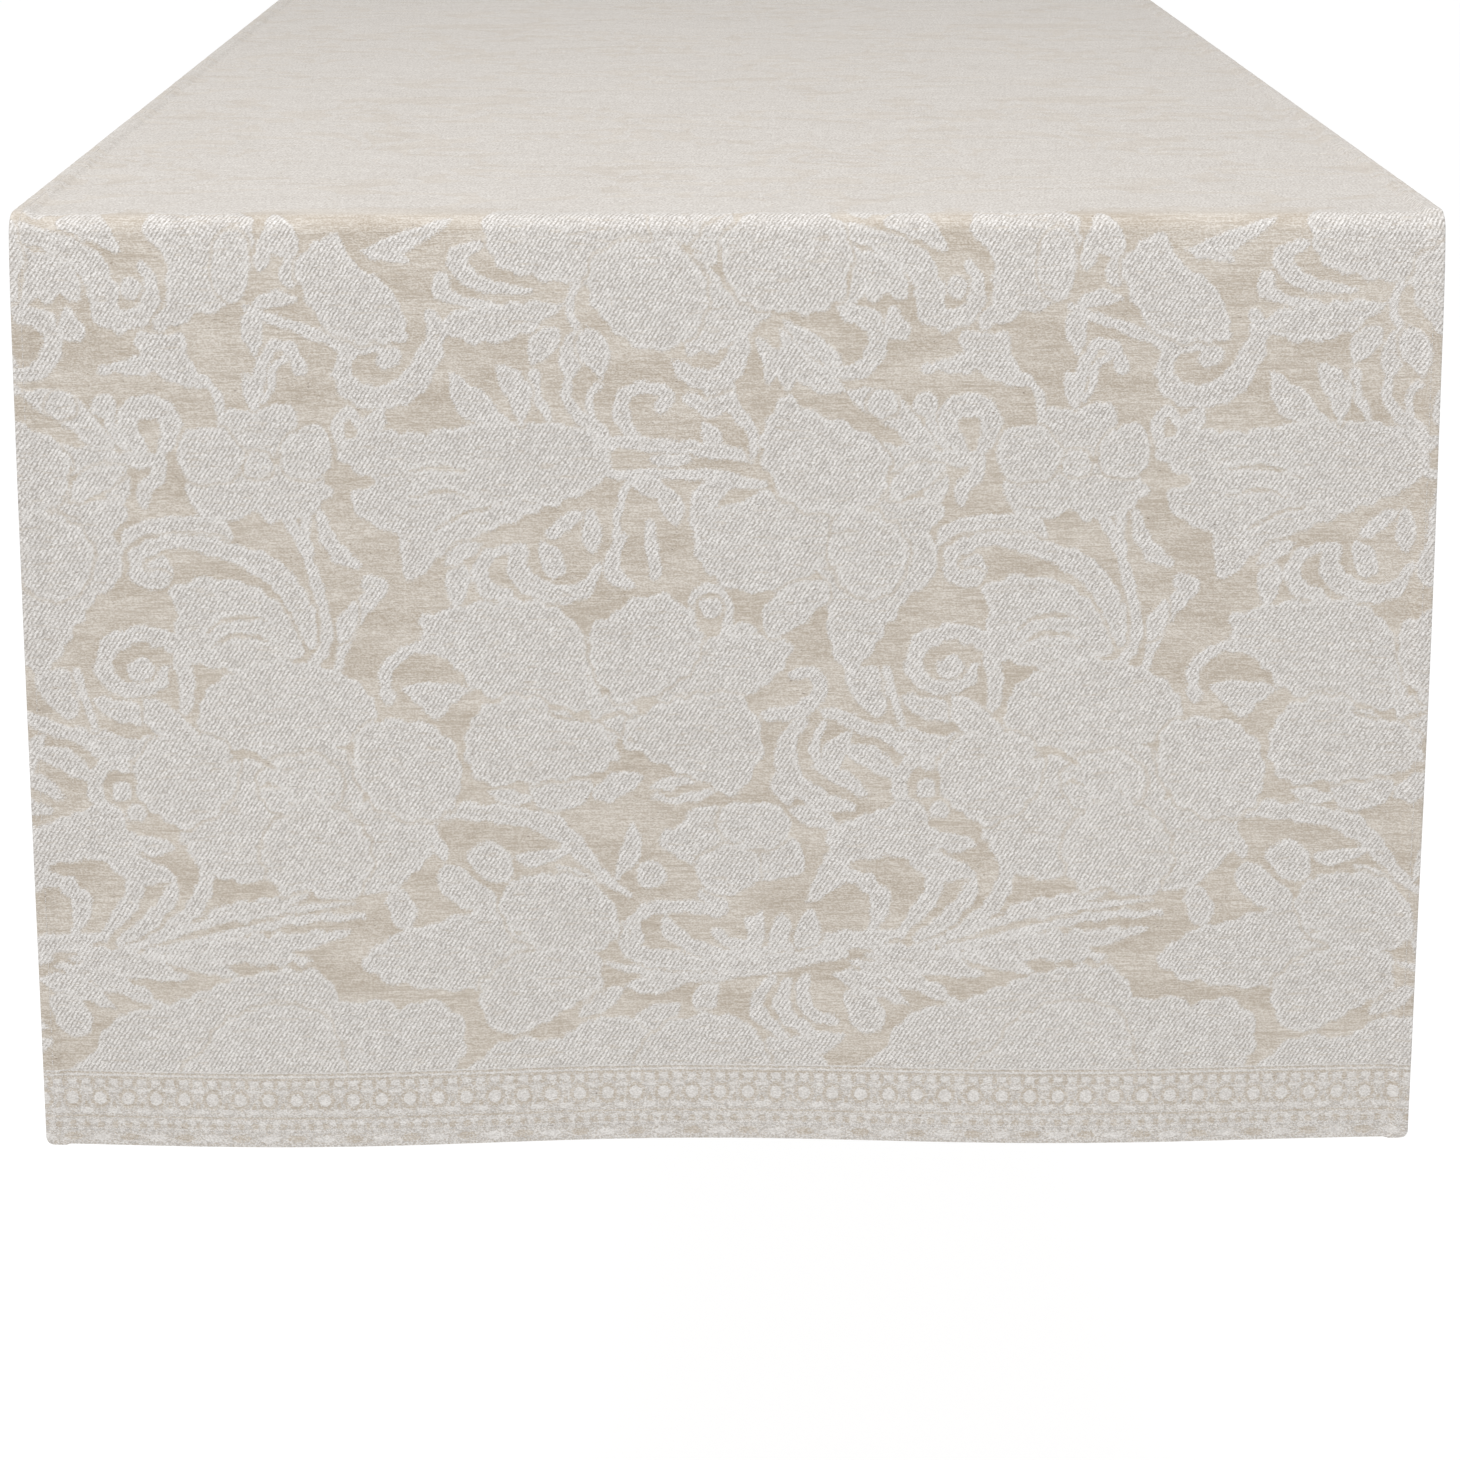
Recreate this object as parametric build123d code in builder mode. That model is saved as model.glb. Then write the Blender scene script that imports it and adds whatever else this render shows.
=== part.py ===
from build123d import *
from math import pi
import os

# A woven table runner, draped straight across a table so that both ends hang down.
#
# Frame: the origin is on the underside of the cloth, at the middle of the stretch that
# lies on the tabletop. +Z is up, X runs across the runner and Y along it. The front drop
# hangs on the -Y side of the table and the back drop on the +Y side.
#
# The cloth is one length that bends over two table edges. It is divided at the lower end
# of each bend, where the two drops turn when they are lifted, and each part keeps its own
# turned hems and its own rows of stitching.

# Driving dimensions, in mm
runner_width = 500.0    # across the runner, hem to hem
runner_length = 1600.0  # along the cloth when it is laid flat
cloth = 0.7             # thickness of one layer
table_depth = 920.0     # between the two table edges that the runner hangs over
edge_radius = 6.0       # rounding of the table edge, which is the inside of each bend
side_hem = 5.0          # width of the double hem along each long side
end_hem = 8.0           # height of the double hem at each end
turned_layers = 2       # layers folded under the face in a double hem
lift_gap = 0.3          # clearance between a drop and the bend that it turns on
thread = 0.3            # thickness of the sewing thread
stitch_margin = 1.2     # from a row of stitching to the inner edge of its hem

# Worked-out dimensions
half_width = runner_width / 2
half_depth = table_depth / 2
half_flat = half_depth - edge_radius
bend_length = pi / 2 * (edge_radius + cloth / 2)
drop_length = runner_length / 2 - half_flat - bend_length
drop_top = -edge_radius - lift_gap
drop_bottom = -edge_radius - drop_length
hem_stack = turned_layers * cloth
raised_face = hem_stack + cloth
field_half = half_width - side_hem

sides = {"left": -1, "right": 1}
ends = {"front": -1, "back": 1}

# The face layer across the width, as (first X, last X, underside, outer side) strips:
# the field lies on the table, and a step lifts each edge over its turned hem.
face_strips = [
    (-half_width, -field_half, hem_stack, raised_face),
    (-field_half, -field_half + cloth, 0, raised_face),
    (-field_half, field_half, 0, cloth),
    (field_half - cloth, field_half, 0, raised_face),
    (field_half, half_width, hem_stack, raised_face),
]


def span_outline(under, outer):
    """Side view of a layer on the tabletop and round both table edges."""
    with BuildSketch() as outline:
        with BuildLine():
            start = CenterArc((-half_flat, -edge_radius), edge_radius + outer, 180, -90)
            far = CenterArc((half_flat, -edge_radius), edge_radius + outer, 90, -90)
            Line(start @ 1, far @ 0)
            back = CenterArc((half_flat, -edge_radius), edge_radius + under, 0, 90)
            Line(far @ 1, back @ 0)
            near = CenterArc((-half_flat, -edge_radius), edge_radius + under, 90, 90)
            Line(back @ 1, near @ 0)
            Line(near @ 1, start @ 0)
        make_face()
    return outline.sketch


def drop_outline(end, under, outer, low=drop_bottom, high=drop_top):
    """Side view of a layer that hangs beside the table at one end."""
    with BuildSketch() as outline:
        with BuildLine():
            inside = end * (half_depth + under)
            outside = end * (half_depth + outer)
            Polyline((inside, low), (outside, low), (outside, high), (inside, high), close=True)
        make_face()
    return outline.sketch


def layer(outline, first_x, last_x):
    """A strip of cloth or thread: a side view carried across part of the width."""
    with BuildPart() as strip:
        with BuildSketch(Plane.YZ.offset(first_x)):
            add(outline)
        extrude(amount=last_x - first_x)
    return strip.part


def save(part, name):
    part.label = name
    export_step(part, f"parts/{name}.step")


os.makedirs("parts", exist_ok=True)

# The cloth on the tabletop, with both bends
with BuildPart() as top_cloth:
    for first_x, last_x, under, outer in face_strips:
        add(layer(span_outline(under, outer), first_x, last_x))
save(top_cloth.part, "top_cloth")

# Its side hems and their stitching
for side_name, side in sides.items():
    hem_x = sorted((side * field_half, side * half_width))
    seam_x = side * (field_half + stitch_margin)

    with BuildPart() as top_hem:
        add(layer(span_outline(0, hem_stack), *hem_x))
    save(top_hem.part, f"top_{side_name}_hem")

    with BuildPart() as top_stitching:
        seam_outline = span_outline(raised_face, raised_face + thread)
        add(layer(seam_outline, seam_x - thread / 2, seam_x + thread / 2))
    save(top_stitching.part, f"top_{side_name}_stitching")

# The two hanging drops
for end_name, end in ends.items():
    with BuildPart() as drop_cloth:
        for first_x, last_x, under, outer in face_strips:
            add(layer(drop_outline(end, under, outer), first_x, last_x))
    save(drop_cloth.part, f"{end_name}_drop_cloth")

    for side_name, side in sides.items():
        hem_x = sorted((side * field_half, side * half_width))
        seam_x = side * (field_half + stitch_margin)

        with BuildPart() as drop_hem:
            add(layer(drop_outline(end, 0, hem_stack), *hem_x))
        save(drop_hem.part, f"{end_name}_{side_name}_hem")

        with BuildPart() as drop_stitching:
            seam_outline = drop_outline(end, raised_face, raised_face + thread)
            add(layer(seam_outline, seam_x - thread / 2, seam_x + thread / 2))
        save(drop_stitching.part, f"{end_name}_{side_name}_stitching")

    # The end hem is folded behind the face, between the side hems
    with BuildPart() as end_hem_fold:
        hem_outline = drop_outline(end, -hem_stack, 0, drop_bottom, drop_bottom + end_hem)
        add(layer(hem_outline, -field_half, field_half))
    save(end_hem_fold.part, f"{end_name}_end_hem")

    with BuildPart() as end_stitching:
        seam_z = drop_bottom + end_hem - stitch_margin
        seam_outline = drop_outline(end, cloth, cloth + thread, seam_z, seam_z + thread)
        add(layer(seam_outline, -field_half + cloth, field_half - cloth))
    save(end_stitching.part, f"{end_name}_end_stitching")
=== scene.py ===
import math

import bpy
import numpy as np
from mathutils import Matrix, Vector


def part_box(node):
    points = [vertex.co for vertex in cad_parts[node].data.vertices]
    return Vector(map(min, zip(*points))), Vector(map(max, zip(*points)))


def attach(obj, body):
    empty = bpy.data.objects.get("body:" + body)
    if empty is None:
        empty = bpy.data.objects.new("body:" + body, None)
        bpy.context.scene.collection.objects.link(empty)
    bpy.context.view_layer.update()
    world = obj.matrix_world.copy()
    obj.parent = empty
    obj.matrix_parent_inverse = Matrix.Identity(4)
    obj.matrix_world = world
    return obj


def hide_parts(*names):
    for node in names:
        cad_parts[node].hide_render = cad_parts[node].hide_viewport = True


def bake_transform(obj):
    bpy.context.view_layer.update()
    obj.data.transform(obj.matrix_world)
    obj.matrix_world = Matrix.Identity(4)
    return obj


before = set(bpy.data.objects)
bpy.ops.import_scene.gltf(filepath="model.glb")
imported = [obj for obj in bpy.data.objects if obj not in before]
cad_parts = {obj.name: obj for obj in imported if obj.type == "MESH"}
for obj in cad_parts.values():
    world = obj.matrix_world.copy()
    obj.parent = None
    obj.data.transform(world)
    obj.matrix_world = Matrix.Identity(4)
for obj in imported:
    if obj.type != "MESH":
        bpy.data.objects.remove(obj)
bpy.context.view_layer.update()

# ---- the woven design, in millimetres: x across the runner, y down the front drop from the fold
REPEAT_X = 288.0
REPEAT_Y = 337.0
RASTER = 0.5        # spacing of the samples of one repeat
REACH = 5.0         # how far from an edge a distance is kept
CURVE_STEPS = 5     # straight pieces between two points of a curve
LAYERS = ("back", "front", "veins")


def curve(points, closed):
    """Points along a smooth curve through the given ones."""
    p = np.array(points, float)
    n = len(p)
    if closed:
        before, start, end, after = (p[(np.arange(n) + k) % n] for k in (-1, 0, 1, 2))
    else:
        padded = np.vstack([2 * p[0] - p[1], p, 2 * p[-1] - p[-2]])
        before, start, end, after = (padded[k:k + n - 1] for k in range(4))
    t = (np.arange(CURVE_STEPS) / CURVE_STEPS)[:, None, None]
    bend = (2 * start + (end - before) * t + (2 * before - 5 * start + 4 * end - after) * t**2
            + (3 * start - before - 3 * end + after) * t**3) / 2
    line = bend.transpose(1, 0, 2).reshape(-1, p.shape[1])
    return line if closed else np.vstack([line, p[-1:]])


class Design:
    """One repeat of the damask as distances in mm, positive inside the woven figure.

    Petals that overlap are drawn in two layers, so that each keeps its own outline.
    """

    def __init__(self):
        shape = (int(REPEAT_Y / RASTER), int(REPEAT_X / RASTER))
        self.back, self.front, self.veins = (np.full(shape, -REACH) for _ in LAYERS)

    def window(self, points, margin):
        """The samples close to some points, and their places in the repeating fields."""
        low = np.floor((points.min(0) - margin) / RASTER).astype(int)
        high = np.ceil((points.max(0) + margin) / RASTER).astype(int)
        columns, rows = (np.arange(low[k], high[k] + 1) for k in (0, 1))
        x, y = np.meshgrid(columns * RASTER, rows * RASTER)
        return x, y, np.ix_(rows % self.back.shape[0], columns % self.back.shape[1])

    @staticmethod
    def segment_distance(x, y, a, b):
        run = b - a
        along = (((x - a[0]) * run[0] + (y - a[1]) * run[1]) / max(run @ run, 1e-9)).clip(0, 1)
        return np.hypot(x - a[0] - along * run[0], y - a[1] - along * run[1]), along

    def put(self, field, place, distance):
        field[place] = np.maximum(field[place], distance.clip(-REACH, REACH))

    @staticmethod
    def scalloped(line, pitch=9.0, depth=1.5):
        """A closed line with shallow round lobes along it, as petals have; small shapes stay plain."""
        run = np.roll(line, -1, 0) - line
        gone = np.concatenate([[0], np.cumsum(np.hypot(*run.T))])
        length = gone[-1]
        if length < 75:
            return line
        place = np.linspace(0, length, int(length / 1.5), endpoint=False)
        fine = np.stack([np.interp(place, gone, np.append(line[:, k], line[0, k])) for k in (0, 1)], -1)
        tangent = np.roll(fine, -2, 0) - np.roll(fine, 2, 0)
        tangent /= np.maximum(np.hypot(*tangent.T), 1e-6)[:, None]
        area = np.sum(line[:, 0] * np.roll(line[:, 1], -1) - np.roll(line[:, 0], -1) * line[:, 1])
        outward = np.sign(area) * np.stack([tangent[:, 1], -tangent[:, 0]], -1)
        lobes = max(3, round(length / pitch))
        sway = 0.35 * np.sin(4 * math.pi * place / length + fine[0, 0])
        lobed = np.abs(np.sin(math.pi * (lobes * place / length + sway)))
        return fine + outward * (depth * (lobed - 0.62))[:, None]

    def petals(self, layer, *outlines):
        for points in outlines:
            self.petal(layer, points)
            self.petal_ribs(np.array(points, float))

    def petal(self, layer, points):
        line = self.scalloped(curve(points, True))
        x, y, place = self.window(line, REACH)
        near = np.full(x.shape, 1e9)
        inside = np.zeros(x.shape, bool)
        for a, b in zip(line, np.roll(line, -1, 0)):
            near = np.minimum(near, self.segment_distance(x, y, a, b)[0])
            if a[1] != b[1]:
                crosses = (a[1] > y) != (b[1] > y)
                inside ^= crosses & (x < (b[0] - a[0]) * (y - a[1]) / (b[1] - a[1]) + a[0])
        self.put(layer, place, np.where(inside, near, -near))

    def petal_ribs(self, points):
        """Three fine ribs along a petal, the outer two bowed like its sides."""
        middle = (points.min(0) + points.max(0)) / 2
        spread = points - middle
        across, along = np.linalg.svd(spread, full_matrices=False)[2][::-1]
        half_length, half_width = (np.ptp(spread @ way) / 2 for way in (along, across))
        if half_length < 10:
            return
        for bow, reach in ((-0.5, 0.45), (0.06, 0.65), (0.5, 0.45)):
            bulge = middle + across * half_width * bow
            tips = across * half_width * bow * 0.6
            ends = [middle + tips + way * along * half_length * reach for way in (-1, 1)]
            self.rib([ends[0], bulge, ends[1]])

    def leaves(self, layer, *rows):
        """Pointed leaves with a midrib: base x, y, tip x, y, how far it bends sideways, width."""
        for *ends, bend, width in rows:
            base, tip = np.array(ends[:2], float), np.array(ends[2:], float)
            run = tip - base
            side = np.array([run[1], -run[0]]) / np.hypot(*run)
            t = np.linspace(0, 1, 7)[:, None]
            midrib = base + run * t + side * 4 * bend * t * (1 - t)
            half = width / 2 * np.sin(np.pi * t**0.85) ** 0.75 + 0.3
            self.petal(layer, np.vstack([midrib + side * half, (midrib - side * half)[::-1]]))
            self.rib(midrib[1:5])

    def stroke_distance(self, points):
        """How deep a place lies inside a stroke through (x, y, width) points."""
        line = curve(np.array(points) * (1, 1, 0.5), False)
        gone = np.concatenate([[0], np.cumsum(np.hypot(*np.diff(line[:, :2], axis=0).T))])
        widest = max(width for *_, width in points)
        if widest >= 4 and gone[-1] > 20:           # long scrolls are notched like acanthus
            line[:, 2] += 0.16 * line[:, 2] * (2 * np.abs(np.sin(math.pi * gone / 6.5)) - 1)
        x, y, place = self.window(line[:, :2], REACH + widest / 2)
        distance = np.full(x.shape, -1e9)
        for a, b in zip(line[:-1], line[1:]):
            gap, along = self.segment_distance(x, y, a[:2], b[:2])
            distance = np.maximum(distance, a[2] + (b[2] - a[2]) * along - gap)
        return place, distance

    def scrolls(self, layer, *lines):
        for line in lines:
            self.put(layer, *self.stroke_distance(line))

    def discs(self, layer, *rounds):
        for x, y, radius in rounds:
            self.scrolls(layer, [(x, y, 2 * radius)] * 2)

    def rib(self, points):
        self.put(self.veins, *self.stroke_distance([(x, y, 1.05) for x, y in points]))

    def slits(self, *cuts):
        """Gaps of ground colour cut through the figure: a width, then points."""
        for width, *points in cuts:
            widths = [width] * len(points)
            widths[0] = widths[-1] = width * 0.4
            place, distance = self.stroke_distance([(*p, w) for p, w in zip(points, widths)])
            for field in (self.back, self.front):
                field[place] = np.minimum(field[place], -distance.clip(-REACH, REACH))

    def uneven(self, draw, shortest, longest):
        """Gentle random waves that repeat with the design, about 1 either way."""
        rows, columns = self.back.shape
        y, x = np.mgrid[:rows, :columns]
        total = np.zeros((rows, columns))
        for _ in range(40):
            length, angle, phase = draw.uniform(shortest, longest), *draw.uniform(0, 2 * math.pi, 2)
            across = round(REPEAT_X / length * math.cos(angle))
            down = round(REPEAT_Y / length * math.sin(angle))
            total += np.sin(2 * math.pi * (across * x / columns + down * y / rows) + phase)
        return total / math.sqrt(20)

    def waver(self):
        """Shifts every edge by small random waves, like the stepped edges of a woven figure."""
        draw = np.random.default_rng(5)
        rows, columns = self.back.shape
        y, x = np.mgrid[:rows, :columns] * RASTER
        shift_x, shift_y = (0.3 * self.uneven(draw, 6, 14) for _ in range(2))
        swell = 0.3 + 0.16 * self.uneven(draw, 4, 9)
        for key in LAYERS:
            field = look_up(getattr(self, key), x + shift_x, y + shift_y)
            setattr(self, key, field + (0 if key == "veins" else swell))


def look_up(field, x, y):
    """A design field between its samples; the design repeats both ways."""
    rows, columns = field.shape
    row, column = (y / RASTER) % rows, (x / RASTER) % columns
    i, j = np.floor(row).astype(int) % rows, np.floor(column).astype(int) % columns
    a, b = row - np.floor(row), column - np.floor(column)
    below, right = (i + 1) % rows, (j + 1) % columns
    return ((field[i, j] * (1 - b) + field[i, right] * b) * (1 - a)
            + (field[below, j] * (1 - b) + field[below, right] * b) * a)


design = Design()
back, front = design.back, design.front
petals, leaves, scrolls = design.petals, design.leaves, design.scrolls
discs, slits = design.discs, design.slits

# ---- broad leaves on the border
petals(back,
    [(22, 318), (22, 300), (30, 290), (46, 286), (74, 275), (90, 272), (101, 273), (107, 280), (116, 302),
     (116, 318)],
    [(158, 318), (164, 304), (176, 300), (190, 302), (200, 296), (212, 298), (220, 306), (222, 318)])
petals(front, [(60, 318), (62, 300), (72, 290), (88, 286), (102, 290), (108, 302), (106, 318)])

# ---- the largest flower, over the table edge
petals(back,
    [(165, 2), (168, -8), (178, -16), (192, -20), (205, -14), (212, 0), (208, 14), (198, 21), (172, 16)],
    [(238, 14), (250, 22), (262, 24), (264, 32), (258, 38), (242, 46), (234, 44), (232, 30)],
    [(180, -20), (184, -32), (200, -43), (216, -42), (228, -28), (222, -12), (206, -6), (190, -10)],
    [(254, -24), (262, -34), (276, -34), (288, -22), (286, -6), (270, -2), (258, -8)],
    [(205, -4), (216, -12), (236, -14), (250, -6), (252, 8), (242, 16), (222, 14), (208, 10)])
petals(front,
    [(203, 14), (212, 8), (224, 8), (238, 14), (242, 26), (238, 38), (226, 45), (214, 41), (205, 32),
     (201, 23)],
    [(248, 12), (250, 4), (258, -4), (268, -8), (282, -6), (290, 4), (292, 16), (288, 28), (276, 32),
     (254, 27)],
    [(214, -18), (222, -36), (240, -45), (258, -40), (264, -24), (256, -8), (238, 0), (222, -4)])
discs(front, (231, 1, 8))
slits(
    (2.4, (247.5, 7), (247, 19), (252, 26)), (2.6, (231, 6), (235, 10), (241, 11)),
    (1.6, (238, 4), (243, 6)), (1.8, (225, -6), (232, -8)), (1.6, (208, 27), (209, 29)))

# ---- the bell-shaped bud and a rounded leaf
petals(back,
    [(47, -3), (56, -6), (70, -8), (82, -4), (84, 6), (80, 26), (62, 33), (52, 37.5), (49, 36), (54, 28),
     (55, 18), (53, 10), (48, 7)],
    [(46, -10), (44, -22), (48, -36), (60, -48), (76, -56), (94, -60), (104, -57), (112, -52), (124, -53),
     (130, -48), (124, -41), (98, -34), (92, -20), (80, -8), (60, -6)],
    [(94, 15), (99, 13), (103, 16), (100, 21), (95, 22), (93, 18)],
    [(117, 306), (118, 296), (138, 285), (150, 289), (154, 297), (152, 308), (140, 318), (126, 316)])
petals(front,
    [(71, 10), (75, 4), (79, 3), (82, 9), (82.5, 18), (80, 25), (76, 27), (71, 22)],
    [(50, -8), (50, -22), (60, -34), (74, -34), (80, -22), (76, -8), (62, -4)],
    [(100, 17), (102, 11), (111, 5), (116, 7), (117, 13), (128, 20), (134, 27), (137, 41), (118, 41),
     (110, 37), (104, 29)])
leaves(back,
    (86, 17, 91, 2, 0, 5.5), (99, 13, 91, -4, 1, 9), (122, 10, 153, -1, -2, 5.5),
    (123, 10.5, 138, 13.5, 1, 4.5), (84, 29, 100, 27, 1, 5.5), (83, 31, 84.5, 46, 0, 6),
    (84, 65, 80, 53, -1, 5))
scrolls(back,
    [(81, 30, 2), (108, 40, 4.5), (118, 43, 4)],
    [(100, 53, 3.5), (99, 47, 4), (95, 43.5, 3.5), (90, 44, 3), (85, 56, 4), (84, 65, 2)],
    [(95, 48, 2.5), (91, 51, 2.5), (90, 57, 2.5), (87, 63, 2)],
    [(129, 49, 5), (133, 47, 5), (131, 44.5, 4), (123, 43.5, 4), (117, 46, 5), (115, 53, 6), (118, 59, 7),
     (126, 62, 7), (134, 60.5, 7.5), (141, 55, 8), (148, 39, 6), (146, 32, 3)])

# ---- curls and sprigs at the left
scrolls(back,
    [(0, 2, 4), (20, 9, 8), (28, 15, 9), (32.5, 24, 9), (33, 31, 8.5), (38, 34.5, 7), (44, 33, 6),
     (48.5, 28, 5), (49, 21, 4), (46, 15, 3)],
    [(3, 9, 4), (6.5, 13, 5), (8, 19, 5), (6.5, 25, 4.5), (2, 30, 3.5)],
    [(2, 33, 3), (9, 33, 6), (13.5, 38, 6), (14, 44, 6), (11, 50, 5.5), (5, 53, 4.5), (-3, 53, 4)],
    [(44, 81, 4), (40, 74, 5.5), (39.5, 68, 7), (44, 65, 7), (50, 65, 7), (54, 69, 7), (54, 75, 6),
     (51, 82, 3)], [(33, 68, 2.5), (34, 74, 3.5), (38, 79, 2.5)],
    [(50, 84, 5), (49, 90, 5), (44.5, 94, 5), (44, 100, 3)])
discs(back, (42, 23, 3.6), (31, 64.5, 4))
petals(back,
    [(9, 11), (21, 15), (25, 26), (21, 27), (17, 25), (12, 28), (9, 22)],
    [(6, -2), (4, -14), (10, -26), (22, -30), (34, -24), (38, -12), (30, -4), (18, -4)],
    [(21, 101), (30, 99), (38, 102), (35, 108), (28, 112), (22, 108)])
leaves(back,
    (24, 42, 19, 30, 1, 6.5), (4, 60, 31, 78, 3, 10), (21, 69, 34, 79, -1, 7), (9, 79, 52, 83, -3, 7),
    (19, 88.5, 48, 85, 2, 5), (34, 101, 38, 89, 1, 7))
petals(front, [(16, 0), (22, -4), (31, -3), (38, 10), (27, 6), (21, 4)])
discs(front, (16, 64.5, 4.6))
leaves(front, (19, 98, 38, 87.5, 2, 8))

# ---- a small bud
petals(back,
    [(30, 51), (44, 47), (43, 42), (44, 38), (50, 39.5), (59, 39), (61, 49), (66, 54), (64, 57.5), (57, 57),
     (50, 53), (35, 53)])
scrolls(back, [(62, 54, 4), (68, 57.5, 3), (71.5, 63, 2.5), (72, 71, 2.5)])

# ---- the five-lobed flower
petals(back,
    [(72, 80), (71, 70), (76, 66), (84, 67), (92, 64), (98, 68), (97, 76), (92, 82), (80, 84)],
    [(59, 93), (68, 87), (80, 88), (85, 97), (80, 104), (72, 106), (63, 103)],
    [(84, 88), (96, 86), (106, 89), (109, 97), (102, 103), (92, 106), (84, 103)])
petals(front,
    [(57, 82), (59, 75), (66, 72), (74, 75), (79, 82), (75, 90), (66, 92), (59, 90)],
    [(93, 81), (99, 73), (106, 72), (110, 78), (109, 87), (102, 91), (95, 88)])
discs(front, (84.5, 86, 4.6))
slits((1.6, (79, 82.5), (85, 81)), (1.8, (86, 87), (92, 84.5)), (1.3, (80, 90), (84, 91)))

# ---- the wing-shaped leaf and its curls
petals(back,
    [(113, 80), (125, 74), (140, 75), (160, 72), (185, 71), (200, 74), (208, 82), (207, 90), (196, 97),
     (160, 112), (147, 120), (138, 128), (134, 121), (134, 112), (125, 108), (118, 102), (118, 96),
     (126, 92), (117, 87)])
slits(
    (2.4, (138, 88), (148, 87), (159, 88.5)), (2.2, (138, 98), (149, 95.5), (160, 98)),
    (2, (146, 110), (156, 104), (170, 100)))
leaves(front, (150, 122, 163, 115, 1, 5), (189, 128, 184, 114, -1, 7))
leaves(back, (155, 121, 153, 138, 0, 8), (202, 118, 201, 102, 0, 7), (186, 113, 198, 104, 1, 5))
scrolls(back,
    [(173, 117, 3), (166, 118, 4), (162, 124, 5), (164, 131, 5), (171, 133.5, 4)],
    [(176, 116, 5), (175, 124, 7), (180, 130, 6.5), (190, 133, 6), (199, 131, 5), (204, 123, 2.5)],
    [(213, 112, 2.5), (209, 119, 4.5), (209.5, 126, 5), (215, 130, 2.5)],
    [(222, 107, 2.5), (223, 116, 4.5), (224, 125, 4.5)])

# ---- leaves under the largest flower
scrolls(back,
    [(163, 8, 3), (158, 10, 5), (155.5, 14, 6), (159, 19, 5.5), (168, 23, 4), (181, 24, 2)],
    [(150, 19, 4), (150, 24, 4.5), (155, 27, 4), (167, 29, 2)],
    [(200, 19, 2.5), (195.5, 25, 3), (194.5, 31, 3), (197, 38, 2)],
    [(182, 54, 4), (182, 60, 4), (187, 69, 2)],
    [(194, 56, 3), (193, 62, 3.5), (197, 68, 4), (204, 73, 4), (209, 79, 3)],
    [(205, 57, 2.5), (201, 62, 2.5), (202, 70, 2)],
    [(226, 65, 5), (229, 61.5, 4), (225, 58.5, 4), (218, 58.5, 4.5), (213, 62, 5), (212.5, 69, 5),
     (217, 76, 3)], [(232, 50, 4), (238, 55, 6), (246, 55, 7), (252, 50, 7), (255, 42, 5)],
    [(204, 77, 3), (246, 81, 4.5), (259, 84, 2)], [(208, 89.5, 3), (240, 89.5, 3.5), (262, 93, 3)],
    [(262, 93, 3), (252, 93, 4), (244, 95, 7), (240.5, 101, 8), (241, 108, 8)],
    [(216, 91, 2.5), (212, 98, 2.5), (210, 112, 2.5)],
    [(113, 79, 4), (113, 71, 4), (116.5, 67, 4), (120, 71, 3)])
leaves(back,
    (148, 36, 191, 29, -3, 12), (190, 37, 181, 50, -1, 8), (198, 38, 194, 56, -1, 7.5),
    (152, 54, 173, 71, -3, 10), (264, 58, 260, 41, -3, 6), (271, 60, 263, 43, -3, 6),
    (291, 60, 268, 38, 4, 8), (290, 50, 270, 35, 1, 6), (222, 84.5, 237, 84.5, 0, 3),
    (216, 92, 228, 97, 1, 6), (226, 94, 232, 108, 1, 7), (241, 71, 248, 81, 0, 5), (121, 81, 129, 66, 1, 7))
leaves(front, (200, 37, 206, 55, 0, 9), (169, 50, 177, 71, 3, 8))
scrolls(front, [(236, 62, 3.5), (243, 66, 5), (250, 64, 5), (258, 74, 3.5), (259, 82, 2)])
discs(back, (247, 59, 5.4))

# ---- the tall flower at the side edges
petals(back,
    [(240, 106), (264, 96), (276, 98), (286, 108), (284, 120), (272, 130), (258, 132), (246, 128),
     (239, 120)],
    [(290, 80), (304, 84), (308, 96), (322, 114), (323, 126), (312, 136), (298, 158), (290, 160), (286, 146),
     (284, 130), (280, 112), (282, 96)])
petals(front,
    [(262, 84), (262, 74), (270, 61), (277, 66), (300, 76), (306, 88), (300, 100), (284, 103), (270, 98)],
    [(286, 112), (294, 102), (306, 107), (313, 117), (310, 128), (300, 134), (290, 128)],
    [(262, 145), (267, 148.5), (278, 142), (285, 134), (283, 128), (272, 130), (264, 136)])
slits((1.6, (314, 117), (316, 119)), (1.3, (272, 82), (276, 82)))

# ---- the shell-shaped leaf and the scroll over it
petals(back,
    [(52, 131), (68, 126.5), (87, 133), (99, 150), (95, 156), (85, 158), (76, 161), (57, 156), (54, 148),
     (55, 139)])
slits((2.2, (65, 147), (70, 142.5), (78, 141), (87, 142.5)), (2.4, (66, 152), (74, 148), (87, 149)))
scrolls(back,
    [(37, 113, 3), (44, 108.5, 5), (66, 108, 6), (74, 112, 3)],
    [(92, 101, 3.5), (101, 119, 3.5), (107, 143, 4), (106, 152, 4), (101, 160, 3)],
    [(100, 99, 2.5), (101, 110, 2.5), (102, 121, 2.5)],
    [(106, 104, 3.5), (108, 112, 5), (112, 118, 5), (118, 122, 2.5)],
    [(123, 129, 7), (125, 132, 6), (116, 144, 5), (111, 160, 2)],
    [(60, 157, 4), (52, 150, 6), (42, 147, 6), (32, 150, 6), (28, 157, 6), (30, 164, 5.5), (38, 168, 5),
     (46, 166, 4), (50, 160, 3)], [(54, 155, 3), (57, 162, 4.5), (57, 170, 4.5), (55, 177, 3)])
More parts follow.
